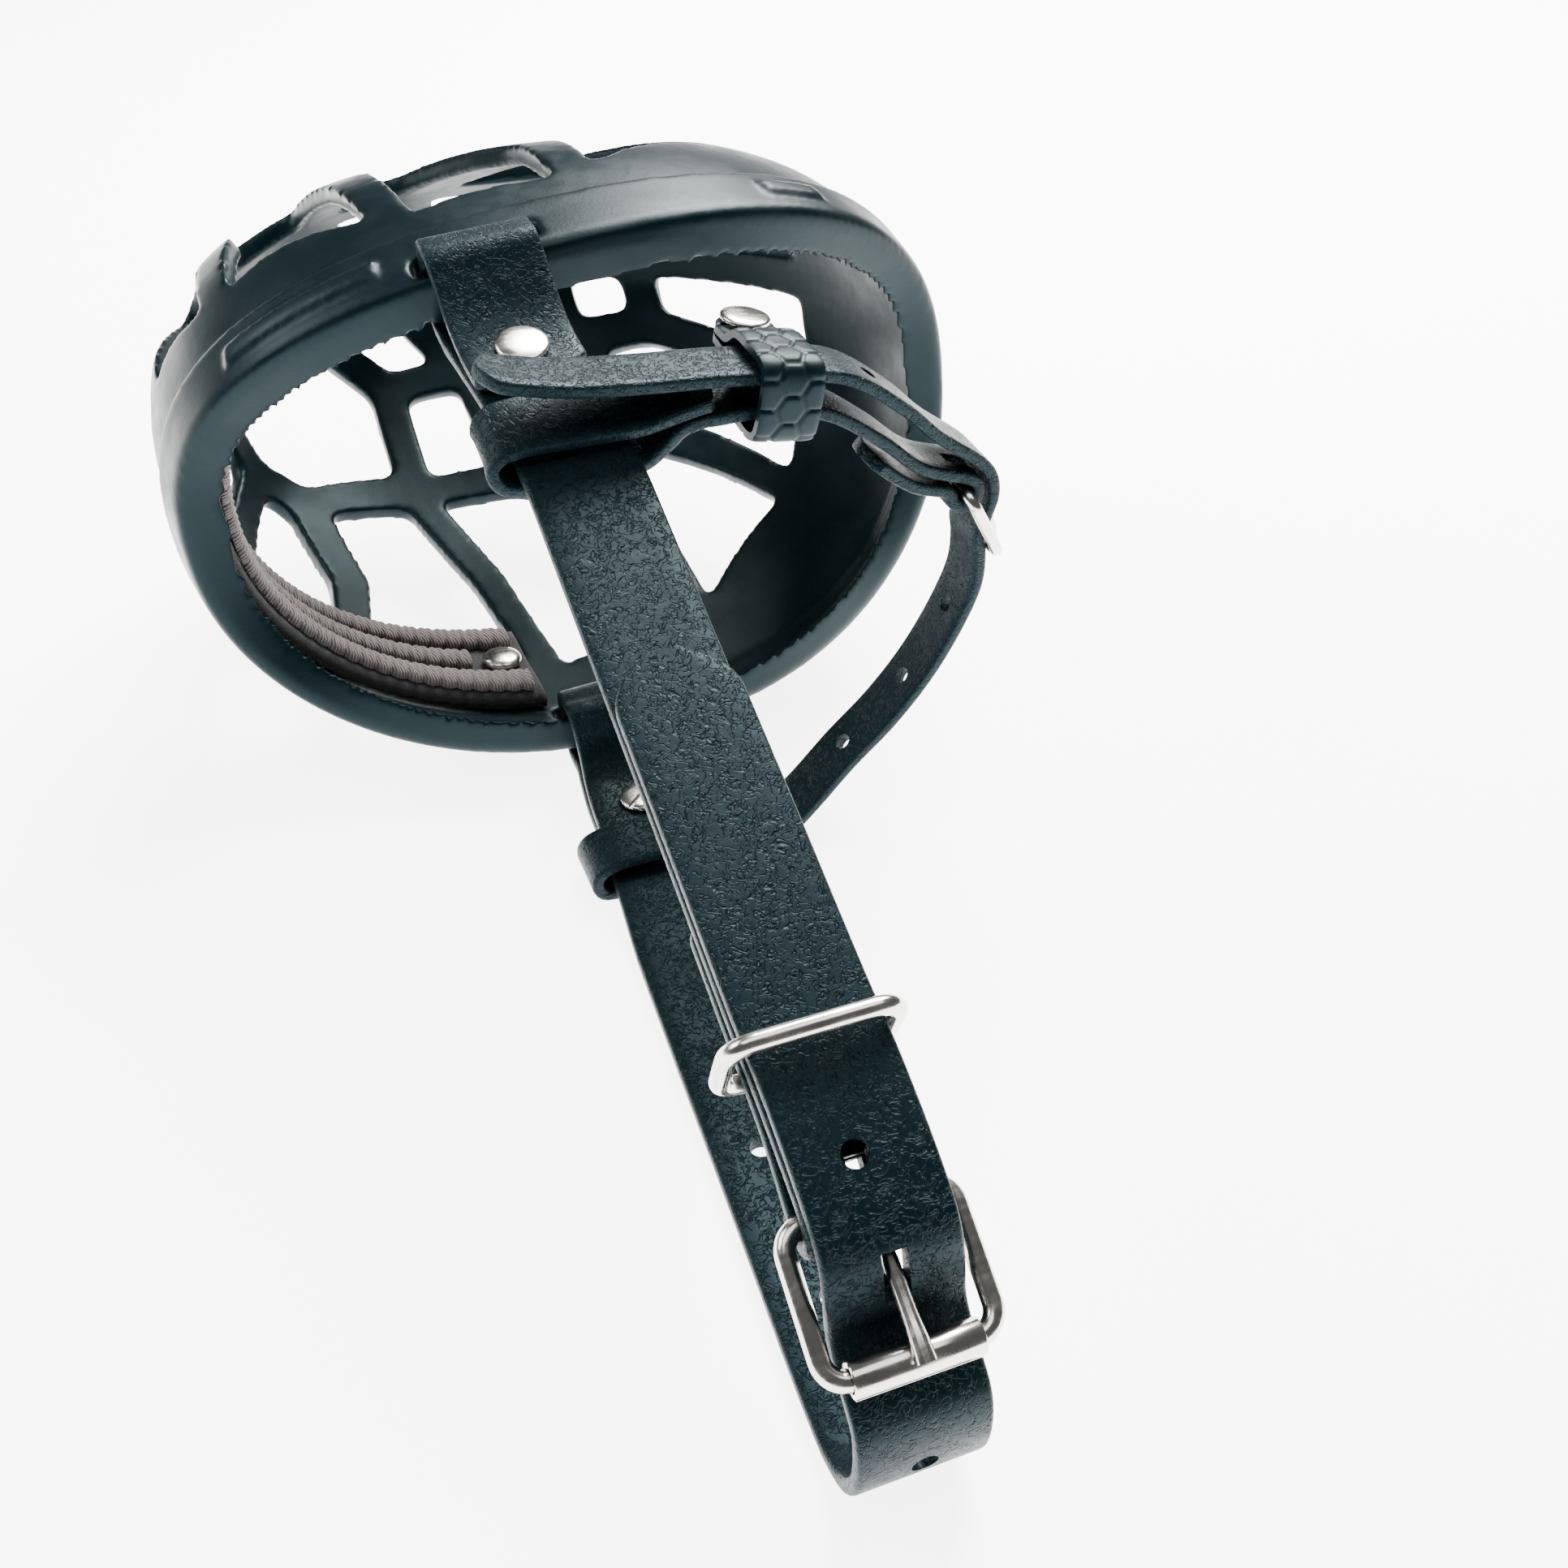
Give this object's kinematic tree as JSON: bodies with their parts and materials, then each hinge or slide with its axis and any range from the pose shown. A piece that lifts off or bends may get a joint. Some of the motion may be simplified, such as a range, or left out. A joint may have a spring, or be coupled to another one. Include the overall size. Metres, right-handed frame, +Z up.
{
  "type": "basket dog muzzle",
  "caption": "Basket muzzle for a dog, lying on its cheek: windowed rubber basket, padded nose bridge, roller-buckle neck strap and narrow throat strap.",
  "frame": {"origin": "centre of the object's footprint, on the surface it lies on", "axes": "+Y towards the nose end of the basket, +X towards the chin side, +Z up, towards the dog's right cheek"},
  "size_m": [0.1379, 0.2636, 0.0993],
  "materials": {
    "rubber": "satin moulded black rubber",
    "pad": "matte black padding",
    "rib": "brown-grey woven braid",
    "strap": "black grained artificial leather, satin",
    "nickel": "polished nickel plate"
  },
  "bodies": {
    "basket": {"basket_shell": "rubber", "nose_pad": "pad", "pad_rib_front": "rib", "pad_rib_middle": "rib", "pad_rib_back": "rib", "pad_rivet_left": "nickel", "pad_rivet_right": "nickel"},
    "neck_strap": {"neck_buckle_strap": "strap", "neck_tail_strap": "strap", "neck_screw_right": "nickel", "neck_screw_left": "nickel", "neck_screw_heel": "nickel"},
    "neck_buckle": {"neck_buckle_frame": "nickel"},
    "neck_prong": {"neck_buckle_prong": "nickel"},
    "neck_roller": {"neck_buckle_roller": "nickel"},
    "neck_ring": {"neck_keeper_ring": "nickel"},
    "throat_strap": {"throat_buckle_strap": "strap", "throat_tail_strap": "strap", "throat_screw_upper": "nickel", "throat_screw_lower": "nickel"},
    "throat_buckle": {"throat_buckle_frame": "nickel"},
    "throat_prong": {"throat_buckle_prong": "nickel"},
    "throat_loop_keeper": {"throat_keeper": "rubber", "throat_keeper_screw": "nickel"}
  },
  "joints": [
    {"name": "neck_strap_swing", "type": "hinge", "parent": "basket", "child": "neck_strap", "pos_m": [-0.01643, 0.02675, 0.0932], "axis": [-0.1516, 0.0498, 0.9872], "range_deg": [-3, 1]},
    {"name": "neck_buckle_tilt", "type": "hinge", "parent": "neck_strap", "child": "neck_buckle", "pos_m": [-0.0115, -0.1122, 0.03458], "axis": [-1, 0, 0], "range_deg": [-0.5, 8]},
    {"name": "neck_prong_lift", "type": "hinge", "parent": "neck_buckle", "child": "neck_prong", "pos_m": [-0.0115, -0.1122, 0.03458], "axis": [-1, 0, 0], "range_deg": [0, 8]},
    {"name": "neck_roller_spin", "type": "hinge", "parent": "neck_buckle", "child": "neck_roller", "pos_m": [-0.0115, -0.1272, 0.02558], "axis": [1, 0, 0], "continuous": true},
    {"name": "neck_keeper_slide", "type": "slide", "parent": "neck_strap", "child": "neck_ring", "axis": [0, -0.927, -0.375], "range_m": [-0.006, 0.005]},
    {"name": "throat_strap_swing", "type": "hinge", "parent": "neck_strap", "child": "throat_strap", "pos_m": [-0.0131, -0.0077, 0.07978], "axis": [-0.0955, 0.0654, 0.9933], "range_deg": [-2.5, 2]},
    {"name": "throat_buckle_tilt", "type": "hinge", "parent": "throat_strap", "child": "throat_buckle", "pos_m": [0.0477, -0.0077, 0.06048], "axis": [0, -1, 0], "range_deg": [-0.5, 8]},
    {"name": "throat_prong_lift", "type": "hinge", "parent": "throat_buckle", "child": "throat_prong", "pos_m": [0.0477, -0.0077, 0.06048], "axis": [0, -1, 0], "range_deg": [0, 8]},
    {"name": "throat_keeper_slide", "type": "slide", "parent": "throat_strap", "child": "throat_loop_keeper", "axis": [0.9854, 0, -0.1701], "range_m": [-0.003, 0.003]}
  ]
}
